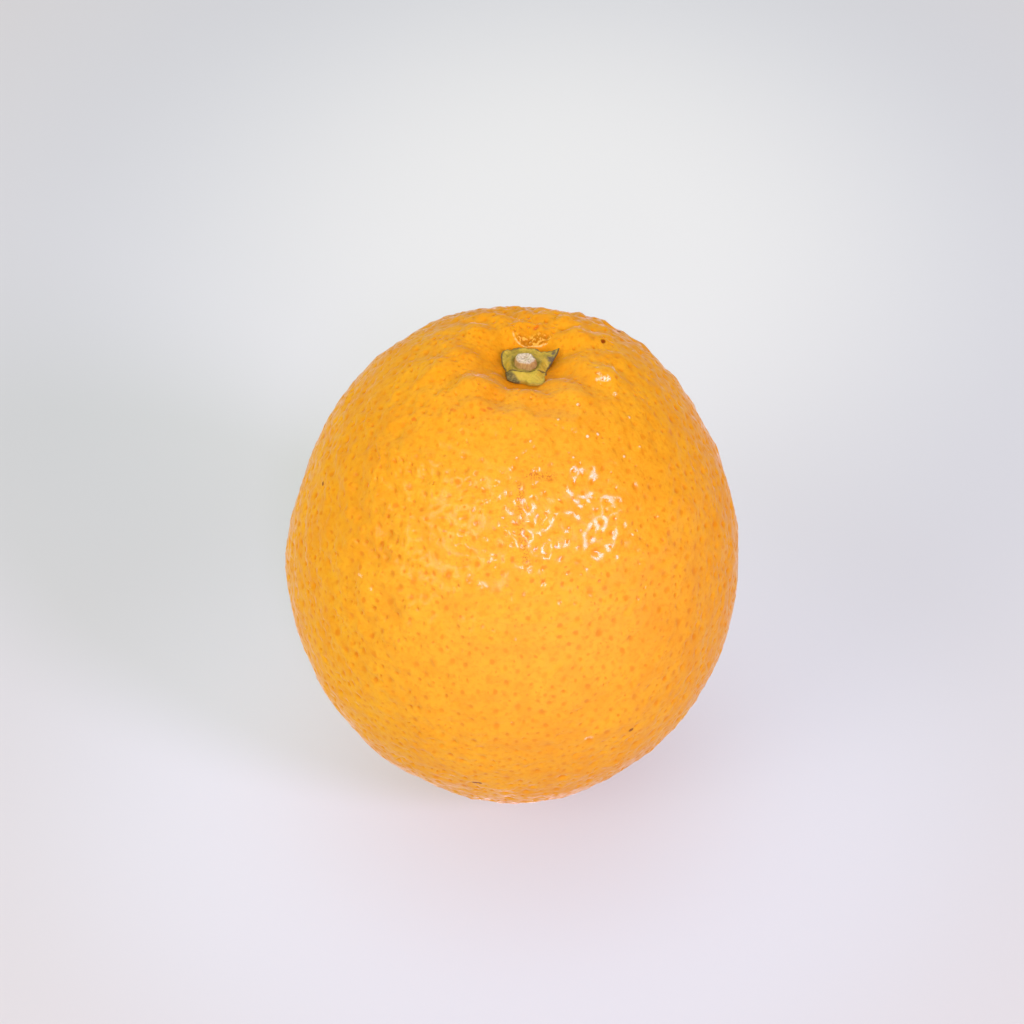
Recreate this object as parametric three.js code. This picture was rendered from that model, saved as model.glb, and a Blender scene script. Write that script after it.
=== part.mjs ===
// An orange as picked: one fruit in its pitted peel, the green calyx button left at its stem end, and the
// cut stub of stem that stands in the button. The fruit stands upright on its blossom end.
// Millimetres and degrees, +Z up. The origin is the centre of the flat spot that the fruit rests on.
// "fall" is the angle down from the stem pole, "turn" the angle round the axis from +X towards +Y.
import * as THREE from 'three';
import { ConvexHull } from 'three/addons/math/ConvexHull.js';

// The fruit's body
const WIDTH = 76; // across the equator
const CROWN = 44; // equator to the top of the curve, before the stem hollow is pressed in
const BASE = 45; // equator to the bottom of the curve, before the rest spot flattens it
const TAPER = 0.05; // how much the crown is drawn in and the base filled out
const REST_RADIUS = 8; // flat spot under the fruit
const STYLE_SCAR = { radius: 3.8, depth: 0.9 }; // dent left by the style, in the middle of the rest spot

// The hollow at the stem end, a little off the axis
const STEM = { x: 1.7, y: 0 };
const HOLLOW = { depth: 5, radius: 7, steepness: 4 };

// Broad rises and flats of the body: where, how far they spread, and how high
const LUMPS = [
  { turn: 49, fall: 45, spread: 22, rise: 1.1 },
  { turn: 90, fall: 37, spread: 22, rise: -0.45 },
  { turn: 131, fall: 45, spread: 22, rise: 0.5 },
  { turn: 180, fall: 90, spread: 22, rise: 0.6 },
  { turn: 331, fall: 123, spread: 24, rise: -0.45 },
  { turn: 15, fall: 100, spread: 26, rise: -0.2 },
  { turn: 95, fall: 105, spread: 30, rise: -0.4 },
  { turn: 9, fall: 78, spread: 9, rise: -0.3 },
  { turn: 81, fall: 37, spread: 9, rise: -0.3 },
  { turn: 102, fall: 37, spread: 9, rise: 0.2 },
  { turn: 117, fall: 39, spread: 9, rise: 0.3 },
  { turn: 137, fall: 47, spread: 9, rise: -0.4 },
  { turn: 170, fall: 77, spread: 9, rise: -0.55 },
  { turn: 197, fall: 111, spread: 9, rise: -0.2 },
  { turn: 236, fall: 138, spread: 9, rise: -0.45 },
  { turn: 267, fall: 144, spread: 9, rise: 0.25 },
  { turn: 309, fall: 136, spread: 9, rise: -0.3 },
];

// Creases that run out of the stem hollow over its shoulders: direction, depth, half width and reach
const CREASES = [
  { turn: 245, depth: 0.9, width: 1.8, reach: 17 },
  { turn: 198, depth: 0.75, width: 2.3, reach: 18 },
  { turn: 162, depth: 0.5, width: 1.3, reach: 14 },
  { turn: 120, depth: 0.5, width: 1.5, reach: 15 },
  { turn: 84, depth: 0.5, width: 1.4, reach: 14 },
  { turn: 53, depth: 0.5, width: 1.7, reach: 15 },
  { turn: 20, depth: 0.35, width: 1.9, reach: 14 },
  { turn: 336, depth: 0.9, width: 1.9, reach: 14 },
  { turn: 290, depth: 0.5, width: 1.6, reach: 13 },
];
const CREASE_START = { from: 3.5, to: 6.5 }; // distance from the stem at which the creases deepen
const CREASE_FADE = 0.55; // share of its reach at which a crease begins to fade

// The pitted peel: one cell for each pit, its middle sunk and its rim proud
const PITS = { count: 1950, depth: 0.38, variation: 0.4, jitter: 0.2 }; // the depth is a full-sized pit's
const CROWDING = [
  { pole: 0, extra: 4.5, within: 0.34 }, // the cells are smaller in the stem hollow
  { pole: Math.PI, extra: 4, within: 0.22 }, // and round the rest spot
];
const SMOOTH_ROUND_STEM = { from: 5, to: 12 }; // the pits begin here, away from the stem
const SMOOTH_OVER_REST = { from: 0.4, to: 3 }; // and this high above the rest spot
const GOLDEN_ANGLE = Math.PI * (3 - Math.sqrt(5));

// The calyx button: a plate whose edge runs out in five uneven sepals
const CALYX = {
  radius: 3.5, // of the plate between the sepals
  collar: 1.15, // thickness round the stem
  edge: 0.6, // thickness at the rim
  collarRadius: 3,
  spokes: 80,
};
const SEPALS = [
  { turn: 33, length: 2, width: 10, blunt: 1.2, lift: 0.2 }, // the pointed one, curled up off the peel
  { turn: 85, length: 1.2, width: 78, blunt: 6, lift: 0.1 }, // the wide one behind the stem
  { turn: 140, length: 0.4, width: 16, blunt: 2, lift: 0.1 },
  { turn: 240, length: 1, width: 18, blunt: 2.4, lift: 0 },
  { turn: 294, length: 2, width: 25, blunt: 2.6, lift: 0 },
];
const SOCKET = { radius: 2.25, floor: 0.6 }; // in the collar, for the stem
const GAP = 0.3; // between neighbouring pieces

// The stub of stem, cut slightly askew and not quite round
const STUB = {
  radius: 1.61,
  height: 1.45,
  flatten: 0.065, // share that it is wider along X and narrower along Y
  taper: 0.1,
  askew: 0.1,
  shift: -0.25, // along Y from the middle of the socket
  bevel: 0.25,
  sides: 28,
};

const PEEL = new THREE.MeshStandardMaterial({ color: 0xf6a52f, roughness: 0.42, metalness: 0 });
const CALYX_GREEN = new THREE.MeshStandardMaterial({ color: 0x9c9a35, roughness: 0.7, metalness: 0 });
const CUT_WOOD = new THREE.MeshStandardMaterial({ color: 0xe4d0b4, roughness: 0.85, metalness: 0 });

const RADIUS = WIDTH / 2;
const CENTRE_Z = BASE * Math.sqrt(1 - (REST_RADIUS / RADIUS) ** 2);
const { degToRad, smoothstep } = THREE.MathUtils;

/** Repeatable random numbers from 0 to 1. */
function seededRandom(seed) {
  let state = seed;
  return () => {
    state = (state + 0x6d2b79f5) | 0;
    let t = Math.imul(state ^ (state >>> 15), 1 | state);
    t = (t + Math.imul(t ^ (t >>> 7), 61 | t)) ^ t;
    return ((t ^ (t >>> 14)) >>> 0) / 2 ** 32;
  };
}

/** The unit vector at a fall and a turn, both in radians. */
function direction(fall, turn) {
  return new THREE.Vector3(Math.sin(fall) * Math.cos(turn), Math.sin(fall) * Math.sin(turn), Math.cos(fall));
}

/** How far the broad lumps raise the skin in a direction. */
function lumpRise(dir) {
  let rise = 0;
  for (const lump of LUMPS) {
    const middle = direction(degToRad(lump.fall), degToRad(lump.turn));
    rise += lump.rise * Math.exp((dir.dot(middle) - 1) / (1 - Math.cos(degToRad(lump.spread))));
  }
  return rise;
}

/** How deep the creases are at a place measured from the stem. */
function creaseDepth(x, y) {
  let depth = 0;
  for (const crease of CREASES) {
    const turn = degToRad(crease.turn);
    const along = x * Math.cos(turn) + y * Math.sin(turn);
    const across = y * Math.cos(turn) - x * Math.sin(turn);
    const begun = smoothstep(along, CREASE_START.from, CREASE_START.to);
    const left = 1 - smoothstep(along, crease.reach * CREASE_FADE, crease.reach);
    depth += crease.depth * begun * left * Math.exp(-((across / crease.width) ** 2));
  }
  return depth;
}

/** A point of the skin, pressed in by a depth along the skin's normal, with or without the creases. */
function skinPoint(dir, pressed = 0, creased = true) {
  const level = Math.hypot(dir.x, dir.y);
  const half = dir.z > 0 ? CROWN : BASE;
  const girth = RADIUS * (1 - TAPER * level * level * dir.z);
  const point = new THREE.Vector3(girth * dir.x, girth * dir.y, CENTRE_Z + half * dir.z);
  const normal = new THREE.Vector3(dir.x / RADIUS, dir.y / RADIUS, dir.z / half).normalize();
  const fromStem = { x: point.x - STEM.x, y: point.y - STEM.y };
  const isCrown = dir.z > 0;
  const crease = isCrown && creased ? creaseDepth(fromStem.x, fromStem.y) : 0;
  point.addScaledVector(normal, lumpRise(dir) - crease - pressed);
  if (isCrown) {
    const away = Math.hypot(fromStem.x, fromStem.y) / HOLLOW.radius;
    point.z -= HOLLOW.depth / (1 + away ** HOLLOW.steepness);
    return point;
  }
  const outward = Math.min(1, Math.hypot(point.x, point.y) / STYLE_SCAR.radius);
  point.z = Math.max(point.z, 0) + STYLE_SCAR.depth * (1 - outward ** 2) ** 2;
  return point;
}

/** The skin's height over a place near the stem, leaving the creases out. */
function skinHeight(x, y) {
  const dir = new THREE.Vector3();
  let guess = { x, y };
  let point;
  for (let round = 0; round < 8; round += 1) {
    dir.set(guess.x / RADIUS, guess.y / RADIUS, 0);
    dir.z = Math.sqrt(1 - dir.lengthSq());
    point = skinPoint(dir, 0, false);
    guess = { x: guess.x + x - point.x, y: guess.y + y - point.y };
  }
  return point.z;
}

/** How many more cells there are for each area at a fall than far from the poles. */
function crowding(fall) {
  return CROWDING.reduce(
    (sum, { pole, extra, within }) => sum + extra * Math.exp(-(((fall - pole) / within) ** 2)),
    1,
  );
}

/** The directions of the pits: a golden-angle spiral from pole to pole, each moved a little at random. */
function pitDirections() {
  const steps = 4000;
  const step = Math.PI / steps;
  const weight = (k) => Math.sin((k + 0.5) * step) * crowding((k + 0.5) * step);
  let total = 0;
  for (let k = 0; k < steps; k += 1) total += weight(k);
  const random = seededRandom(11);
  const directions = [];
  let passed = 0;
  for (let k = 0; k < steps; k += 1) {
    const fall = (k + 0.5) * step;
    passed += (weight(k) / total) * PITS.count;
    while (directions.length + 0.5 < passed) {
      const dir = direction(fall, directions.length * GOLDEN_ANGLE);
      const spacing = Math.sqrt((2 * Math.PI * step * total) / (PITS.count * crowding(fall)));
      const shift = new THREE.Vector3(random() - 0.5, random() - 0.5, random() - 0.5);
      directions.push(dir.addScaledVector(shift, 2 * PITS.jitter * spacing).normalize());
    }
  }
  return directions;
}

/** A closed mesh from points and triangles. */
function solid(name, points, triangles, material) {
  const geometry = new THREE.BufferGeometry();
  const flat = points.flatMap((p) => [p.x, p.y, p.z]);
  geometry.setAttribute('position', new THREE.Float32BufferAttribute(flat, 3));
  geometry.setIndex(triangles.flat());
  geometry.computeVertexNormals();
  const mesh = new THREE.Mesh(geometry, material);
  mesh.name = name;
  return mesh;
}

/**
 * The fruit: the pit directions are joined by the triangles of their hull, the middle of each triangle is
 * a point of the rims between the pits, and each pit is a fan from its sunk middle to the rims round it.
 */
function fruit() {
  const pits = pitDirections();
  const random = seededRandom(23);
  const order = new Map(pits.map((dir, i) => [dir, i]));
  const points = pits.map((dir) => {
    const level = skinPoint(dir);
    const fromStem = Math.hypot(level.x - STEM.x, level.y - STEM.y);
    const nearStem = dir.z > 0 ? smoothstep(fromStem, SMOOTH_ROUND_STEM.from, SMOOTH_ROUND_STEM.to) : 1;
    const nearRest = smoothstep(level.z, SMOOTH_OVER_REST.from, SMOOTH_OVER_REST.to);
    const size = (1 + PITS.variation * (2 * random() - 1)) / Math.sqrt(crowding(Math.acos(dir.z)));
    return skinPoint(dir, PITS.depth * size * nearStem * nearRest);
  });
  const hull = new ConvexHull().setFromPoints(pits);
  const rim = new Map();
  for (const face of hull.faces) {
    rim.set(face, points.length);
    const middle = new THREE.Vector3();
    for (let edge = face.edge, k = 0; k < 3; edge = edge.next, k += 1) middle.add(edge.head().point);
    points.push(skinPoint(middle.normalize()));
  }
  const triangles = [];
  for (const face of hull.faces) {
    for (let edge = face.edge, k = 0; k < 3; edge = edge.next, k += 1) {
      const pit = order.get(edge.tail().point);
      triangles.push([pit, rim.get(edge.twin.face), rim.get(face)]);
    }
  }
  return solid('fruit', points, triangles, PEEL);
}

/** The calyx's outline and how far its edge curls up, in one direction from the stem. */
function sepalEdge(turn) {
  let radius = CALYX.radius;
  let lift = 0;
  for (const sepal of SEPALS) {
    const off = THREE.MathUtils.euclideanModulo(turn - sepal.turn + 180, 360) - 180;
    const share = Math.exp(-((Math.abs(off) / sepal.width) ** sepal.blunt));
    radius += sepal.length * share;
    lift += sepal.lift * share;
  }
  return { radius, lift };
}

/** The calyx: rings of points on its upper face and, under them, on the face that lies along the peel. */
function calyx() {
  const { collarRadius, collar, edge, spokes } = CALYX;
  const rings = [
    { inner: 0.5 * SOCKET.radius, thick: SOCKET.floor },
    { inner: SOCKET.radius, thick: SOCKET.floor },
    { inner: SOCKET.radius + 0.2, thick: collar },
    { inner: collarRadius, thick: collar },
    { out: 0.3, thick: 0.6 * collar + 0.4 * edge },
    { out: 0.65, thick: edge + 0.1 },
    { out: 0.92, thick: edge },
    { out: 1, thick: 0.7 * edge },
  ];
  const tops = [new THREE.Vector3(STEM.x, STEM.y, skinHeight(STEM.x, STEM.y) + GAP + SOCKET.floor)];
  const bottoms = [new THREE.Vector3(STEM.x, STEM.y, skinHeight(STEM.x, STEM.y) + GAP)];
  for (const ring of rings) {
    for (let k = 0; k < spokes; k += 1) {
      const turn = (360 * k) / spokes;
      const rim = sepalEdge(turn);
      const reach = ring.inner ?? collarRadius + ring.out * (rim.radius - collarRadius);
      const x = STEM.x + reach * Math.cos(degToRad(turn));
      const y = STEM.y + reach * Math.sin(degToRad(turn));
      const bottom = skinHeight(x, y) + GAP + rim.lift * (ring.out ?? 0) ** 2;
      tops.push(new THREE.Vector3(x, y, bottom + ring.thick));
      bottoms.push(new THREE.Vector3(x, y, bottom));
    }
  }
  const under = tops.length;
  const at = (ring, k) => 1 + ring * spokes + (k % spokes);
  const triangles = [];
  for (let k = 0; k < spokes; k += 1) {
    triangles.push([0, at(0, k), at(0, k + 1)]);
    triangles.push([under, under + at(0, k + 1), under + at(0, k)]);
    for (let ring = 0; ring + 1 < rings.length; ring += 1) {
      const [a, b, c, d] = [at(ring, k), at(ring + 1, k), at(ring + 1, k + 1), at(ring, k + 1)];
      triangles.push([a, b, c], [a, c, d]);
      triangles.push([under + a, under + c, under + b], [under + a, under + d, under + c]);
    }
    const [a, b] = [at(rings.length - 1, k), at(rings.length - 1, k + 1)];
    triangles.push([a, under + a, under + b], [a, under + b, b]);
  }
  return solid('calyx', [...tops, ...bottoms], triangles, CALYX_GREEN);
}

/** The stub: a short post with a bevelled top that leans a little to one side. */
function stemStub() {
  const { radius, height, flatten, taper, askew, shift, bevel, sides } = STUB;
  const foot = skinHeight(STEM.x, STEM.y) + 2 * GAP + SOCKET.floor;
  const levels = [
    { size: radius, z: 0 },
    { size: radius, z: height - bevel },
    { size: radius - bevel, z: height },
  ];
  const place = (size, z, angle) => {
    const girth = size * (1 - (taper * z) / height);
    const x = girth * (1 + flatten) * Math.cos(angle);
    const y = girth * (1 - flatten) * Math.sin(angle);
    const tilt = (askew * y * z) / height;
    return new THREE.Vector3(STEM.x + x, STEM.y + shift + y, foot + z + tilt);
  };
  const points = [place(0, 0, 0), place(0, height, 0)];
  for (const { size, z } of levels) {
    for (let k = 0; k < sides; k += 1) points.push(place(size, z, (2 * Math.PI * k) / sides));
  }
  const at = (level, k) => 2 + level * sides + (k % sides);
  const triangles = [];
  for (let k = 0; k < sides; k += 1) {
    triangles.push([0, at(0, k + 1), at(0, k)], [1, at(2, k), at(2, k + 1)]);
    for (const level of [0, 1]) {
      triangles.push([at(level, k), at(level, k + 1), at(level + 1, k + 1)]);
      triangles.push([at(level, k), at(level + 1, k + 1), at(level + 1, k)]);
    }
  }
  return solid('stem_stub', points, triangles, CUT_WOOD);
}

const orange = new THREE.Group();
orange.add(fruit(), calyx(), stemStub());

export default orange;
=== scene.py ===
"""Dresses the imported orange: a pitted, creased peel, a fleshy calyx and a cut stub of stem.

Lengths are in metres, built up from MM, and angles in degrees, unless a comment says otherwise. "fall" is the
angle down from the stem pole and "turn" the angle round the fruit's axis from +X towards +Y.
"""
import functools
import math

import bmesh
import bpy
import numpy as np
from bpy.props import FloatProperty, FloatVectorProperty, IntProperty, PointerProperty
from bpy.types import Operator, Panel, PropertyGroup
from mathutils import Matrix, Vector


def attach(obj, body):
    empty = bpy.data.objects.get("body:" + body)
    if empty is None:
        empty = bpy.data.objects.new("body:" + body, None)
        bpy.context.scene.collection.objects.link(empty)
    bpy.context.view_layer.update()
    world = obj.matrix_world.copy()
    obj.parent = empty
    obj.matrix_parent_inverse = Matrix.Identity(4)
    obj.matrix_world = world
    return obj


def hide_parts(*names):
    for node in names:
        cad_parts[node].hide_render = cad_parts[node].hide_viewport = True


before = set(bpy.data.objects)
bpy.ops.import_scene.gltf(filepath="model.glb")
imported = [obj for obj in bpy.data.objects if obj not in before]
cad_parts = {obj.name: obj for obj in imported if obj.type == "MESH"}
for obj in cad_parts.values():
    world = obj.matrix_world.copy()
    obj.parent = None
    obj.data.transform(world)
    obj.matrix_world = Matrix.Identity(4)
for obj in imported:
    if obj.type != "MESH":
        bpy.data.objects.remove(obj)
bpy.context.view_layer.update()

bl_info = {
    "name": "Orange",
    "version": (1, 0, 0),
    "blender": (4, 5, 0),
    "location": "3D View > Sidebar > Orange",
    "description": "Builds an orange with a pitted peel, its calyx and the stub of its stem",
    "category": "Object",
}

MM = 0.001
BODY = "root"
GOLDEN_ANGLE = math.pi * (3 - math.sqrt(5))
TINY = 1e-6
# Where the stem stands, from the fruit's axis
STEM = np.array([1.7, 0.0]) * MM

# Broad rises and flats of the body: turn, fall and spread, and the rise in millimetres
LUMPS = (
    (49, 45, 22, 1.1), (90, 37, 22, -0.45), (131, 45, 22, 0.5), (180, 90, 22, 0.6),
    (331, 123, 24, -0.45), (15, 100, 26, -0.2), (95, 105, 30, -0.4), (9, 78, 9, -0.3),
    (81, 37, 9, -0.3), (102, 37, 9, 0.2), (117, 39, 9, 0.3), (137, 47, 9, -0.4),
    (170, 77, 9, -0.55), (197, 111, 9, -0.2), (236, 138, 9, -0.45), (267, 144, 9, 0.25),
    (309, 136, 9, -0.3),
)

# Creases that run out of the stem hollow over its shoulders: turn, then depth, width and reach in millimetres
CREASES = (
    (245, 0.9, 1.8, 17), (198, 0.75, 2.3, 18), (162, 0.5, 1.3, 14),
    (120, 0.5, 1.5, 15), (84, 0.5, 1.4, 14), (53, 0.5, 1.7, 15),
    (20, 0.35, 1.9, 14), (336, 0.9, 1.9, 14), (290, 0.5, 1.6, 13),
)
# Where a crease begins and is full, from the stem, and the share of its reach where it dies away
CREASE_START = (3.5 * MM, 6.5 * MM)
CREASE_FADE = 0.55

# Sepals of the calyx: turn, length in millimetres, width, bluntness and the lift of their tip in millimetres
SEPALS = (
    (33, 2.0, 10, 1.2, 0.2), (85, 1.2, 78, 6, 0.1), (140, 0.4, 16, 2, 0.1),
    (240, 1.0, 18, 2.4, 0), (294, 2.0, 25, 2.6, 0),
)

# Crescent scar behind the calyx: the circle its lip lies on, from the stem, and the rough tissue inside it
SCAR = dict(
    x=1.4 * MM, y=7.6 * MM, radius=3.4 * MM, squash=1.51, lip=0.21 * MM, lip_rise=0.26 * MM,
    from_turn=170, to_turn=326, taper=25, edge=0.7 * MM, cut_off=(-1.4 * MM, 0.2 * MM),
    rough=0.09 * MM, rough_wave=0.7 * MM, rough_seed=9, sunk=0.12 * MM)
# The part of the peel round it whose mesh is cut finer: middle, radius and number of cuts
SCAR_MESH = ((SCAR["x"], SCAR["y"] - 0.8 * MM), 4.2 * MM, 2)


def tint(code):
    """A linear colour from six hexadecimal digits."""
    shares = [int(code[k:k + 2], 16) / 255 for k in (0, 2, 4)]
    return tuple(c / 12.92 if c <= 0.04045 else ((c + 0.055) / 1.055) ** 2.4 for c in shares)


class FruitSettings(PropertyGroup):
    """The fruit's body and peel."""

    width: FloatProperty(
        name="Width", description="Across the equator, before lumps", default=76 * MM, unit="LENGTH")
    crown: FloatProperty(
        name="Crown", description="Equator to the top of the curve", default=44 * MM, unit="LENGTH")
    base: FloatProperty(
        name="Base", description="Equator to the bottom of the curve", default=45 * MM, unit="LENGTH")
    taper: FloatProperty(
        name="Taper", description="Of the crown", default=0.05, min=0, max=1, subtype="FACTOR")
    rest_radius: FloatProperty(
        name="Rest spot", description="Radius of the flat under it", default=8 * MM, unit="LENGTH")
    glands: IntProperty(name="Glands", description="Oil glands over the whole peel", default=6200, min=500)
    pit_depth: FloatProperty(
        name="Pit depth", description="Of a middling gland's pit", default=0.23 * MM, unit="LENGTH")
    peel_colour: FloatVectorProperty(
        name="Peel", description="Colour between the glands", subtype="COLOR", size=3, default=tint("ECAB1A"))
    gland_colour: FloatVectorProperty(
        name="Glands", description="Colour over the glands", subtype="COLOR", size=3, default=tint("DE8A06"))


class CalyxSettings(PropertyGroup):
    """The calyx that the fruit hung from."""

    radius: FloatProperty(name="Radius", description="Between its sepals", default=3.5 * MM, unit="LENGTH")
    collar: FloatProperty(
        name="Collar", description="Thickness round the stem", default=1.45 * MM, unit="LENGTH")
    edge: FloatProperty(
        name="Edge", description="Thickness of the sepals' edge", default=0.35 * MM, unit="LENGTH")
    green: FloatVectorProperty(
        name="Green", description="Colour of the flesh", subtype="COLOR", size=3, default=tint("CAAE2C"))


class StubSettings(PropertyGroup):
    """The cut stub of stem."""

    radius: FloatProperty(name="Radius", description="Of the stub", default=1.62 * MM, unit="LENGTH")
    height: FloatProperty(name="Height", description="Above the collar", default=1.2 * MM, unit="LENGTH")
    cut_colour: FloatVectorProperty(
        name="Cut", description="Colour of the cut face", subtype="COLOR", size=3, default=tint("D8CCA4"))
    bark_colour: FloatVectorProperty(
        name="Bark", description="Colour of its side", subtype="COLOR", size=3, default=tint("B8964E"))


class StageSettings(PropertyGroup):
    """Camera, light and floor, with angles in radians."""

    elevation: FloatProperty(
        name="Elevation", description="Of the camera", default=math.radians(40.64), subtype="ANGLE")
    distance: FloatProperty(
        name="Distance", description="Camera to the fruit's middle", default=0.45, unit="LENGTH")
    lens: FloatProperty(name="Lens", description="Focal length", default=93.23, unit="CAMERA")
    aim_up: FloatProperty(
        name="Aim up", description="Above the fruit's middle", default=math.radians(0.923), subtype="ANGLE")
    aim_left: FloatProperty(
        name="Aim left", description="Of the fruit's middle", default=math.radians(0.057), subtype="ANGLE")
    light: FloatProperty(name="Light", description="Strength of the pale surround", default=0.75)
    # The colour of the floor's glow where its painted pool of light is brightest
    floor_colour: FloatVectorProperty(
        name="Floor", description="Of the pale ground", subtype="COLOR", size=3, default=tint("FCFAF0"))


# ---- form

def ease(value, low, high):
    """0 below low, 1 above high, and a soft ramp between them."""
    share = np.clip((value - low) / (high - low), 0, 1)
    return share * share * (3 - 2 * share)


def columns(*values):
    """Puts numbers, or rows of them, side by side."""
    return np.stack(values, axis=-1)


def direction(fall, turn):
    """The unit vector at a fall and a turn in degrees."""
    fall, turn = np.radians(fall), np.radians(turn)
    return columns(np.sin(fall) * np.cos(turn), np.sin(fall) * np.sin(turn), np.cos(fall))


def closeness(dirs, fall, turn, spread):
    """1 in one direction, falling off smoothly over a spread in degrees."""
    return np.exp((dirs @ direction(fall, turn) - 1) / (1 - math.cos(math.radians(spread))))


def unit(vectors):
    """The same vectors, each one long."""
    return vectors / np.linalg.norm(vectors, axis=-1, keepdims=True)


class Waves:
    """A smooth random field: many plane waves of about one wavelength, with seeded directions."""

    COUNT = 48
    SPREAD = (0.75, 1.35)

    def __init__(self, wavelength, seed):
        random = np.random.default_rng(seed)
        lengths = wavelength * random.uniform(*self.SPREAD, self.COUNT)
        self.knots = unit(random.normal(size=(self.COUNT, 3))) * (2 * np.pi / lengths)[:, None]
        self.phases = random.uniform(0, 2 * np.pi, self.COUNT)

    def __call__(self, points):
        total = np.cos(points @ self.knots.T + self.phases).sum(axis=-1)
        return total * math.sqrt(2 / self.COUNT)


class Skin:
    """The fruit's outer surface as a function of direction from its middle."""

    HOLLOW_DEPTH = 5 * MM
    HOLLOW_RADIUS = 7 * MM
    HOLLOW_STEEPNESS = 4
    SCAR_RADIUS = 3.8 * MM
    SCAR_DEPTH = 0.9 * MM
    ROUNDS = 8

    def __init__(self, fruit):
        self.radius = fruit.width / 2
        self.crown = fruit.crown
        self.base = fruit.base
        self.taper = fruit.taper
        self.middle = fruit.base * math.sqrt(1 - (fruit.rest_radius / self.radius) ** 2)

    def lump_rise(self, dirs):
        """How far the broad lumps raise the skin."""
        return sum(rise * MM * closeness(dirs, fall, turn, spread) for turn, fall, spread, rise in LUMPS)

    def crease_depth(self, x, y):
        """How deep the creases are at a place measured from the stem."""
        total = 0
        for turn, *sizes in CREASES:
            depth, width, reach = (size * MM for size in sizes)
            cos, sin = math.cos(math.radians(turn)), math.sin(math.radians(turn))
            along, across = x * cos + y * sin, y * cos - x * sin
            left = 1 - ease(along, reach * CREASE_FADE, reach)
            groove = np.exp(-((across / width) ** 2))
            total = total + depth * ease(along, *CREASE_START) * left * groove
        return total

    def normal(self, dirs):
        """The plain ellipsoid's normal."""
        half = np.where(dirs[:, 2] > 0, self.crown, self.base)
        level = np.full(len(dirs), self.radius)
        return unit(dirs / columns(level, level, half))

    def points(self, dirs, raised=0.0, creased=True):
        """Points of the skin, raised by a height along its normal."""
        level = np.hypot(dirs[:, 0], dirs[:, 1])
        on_crown = dirs[:, 2] > 0
        half = np.where(on_crown, self.crown, self.base)
        girth = self.radius * (1 - self.taper * level**2 * dirs[:, 2])
        place = columns(girth * dirs[:, 0], girth * dirs[:, 1], self.middle + half * dirs[:, 2])
        from_stem = place[:, :2] - STEM
        crease = self.crease_depth(*from_stem.T) if creased else 0
        height = self.lump_rise(dirs) - np.where(on_crown, crease, 0) + raised
        place += self.normal(dirs) * height[:, None]
        away = np.linalg.norm(from_stem, axis=-1) / self.HOLLOW_RADIUS
        place[:, 2] -= np.where(on_crown, self.HOLLOW_DEPTH / (1 + away**self.HOLLOW_STEEPNESS), 0)
        outward = np.minimum(1, np.linalg.norm(place[:, :2], axis=-1) / self.SCAR_RADIUS)
        under = np.maximum(place[:, 2], 0) + self.SCAR_DEPTH * (1 - outward**2) ** 2
        place[:, 2] = np.where(on_crown, place[:, 2], under)
        return place

    def height(self, x, y, creased=False):
        """The skin's height over places near the stem, found by rounds of correction."""
        x, y = np.asarray(x, float), np.asarray(y, float)
        guess = columns(x, y)
        for _ in range(self.ROUNDS):
            flat = guess / self.radius
            dirs = np.concatenate([flat, np.sqrt(1 - (flat**2).sum(-1, keepdims=True))], axis=-1)
            found = self.points(dirs, creased=creased)
            guess = guess + columns(x, y) - found[:, :2]
        return found[:, 2]


# ---- meshes

def delaunay(dirs):
    """Triangles that join directions spread over a whole sphere: the faces of their convex hull."""
    work = bmesh.new()
    for place in dirs:
        work.verts.new(place)
    work.verts.index_update()
    bmesh.ops.convex_hull(work, input=work.verts, use_existing_faces=False)
    triangles = np.array([[vert.index for vert in face.verts] for face in work.faces])
    work.free()
    return triangles


def build(name, places, faces, values):
    """A mesh with named values on its points."""
    mesh = bpy.data.meshes.new(name)
    mesh.from_pydata(places.tolist(), [], faces)
    add_values(mesh, values)
    return mesh


def add_values(mesh, values):
    """Stores named values on a mesh's points."""
    for key, numbers in values.items():
        layer = mesh.attributes.get(key) or mesh.attributes.new(key, "FLOAT", "POINT")
        layer.data.foreach_set("value", np.asarray(numbers, np.float32))


def read(items, key, kind, width=1):
    """Reads a value, or a few, of every item of a mesh, one after another."""
    numbers = np.zeros(len(items) * width, kind)
    items.foreach_get(key, numbers)
    return numbers


def refine(mesh, chosen, cuts):
    """Cuts every edge of a mesh whose two ends are chosen."""
    work = bmesh.new()
    work.from_mesh(mesh)
    edges = [edge for edge in work.edges if chosen[edge.verts[0].index] and chosen[edge.verts[1].index]]
    bmesh.ops.subdivide_edges(work, edges=edges, cuts=cuts, use_grid_fill=True)
    bmesh.ops.triangulate(work, faces=[face for face in work.faces if len(face.verts) > 4])
    work.to_mesh(mesh)
    work.free()


def circle(spokes):
    """Points of a unit circle."""
    turn = np.radians(np.arange(spokes) * 360 / spokes)
    return columns(np.cos(turn), np.sin(turn), np.zeros(spokes))


def tube_faces(rows, spokes, upward):
    """Faces that join rows of points, with a cap on each end; upward if the rows climb on the outside."""
    faces = []
    for start in range(0, (rows - 1) * spokes, spokes):
        for k in range(spokes):
            here, after = start + k, start + (k + 1) % spokes
            others = (after, after + spokes, here + spokes)
            faces.append((here, *(others if upward else others[::-1])))
    first, last = range(spokes), range((rows - 1) * spokes, rows * spokes)
    ends = (first[::-1], last) if upward else (first, last[::-1])
    return faces + [tuple(end) for end in ends]


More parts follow.
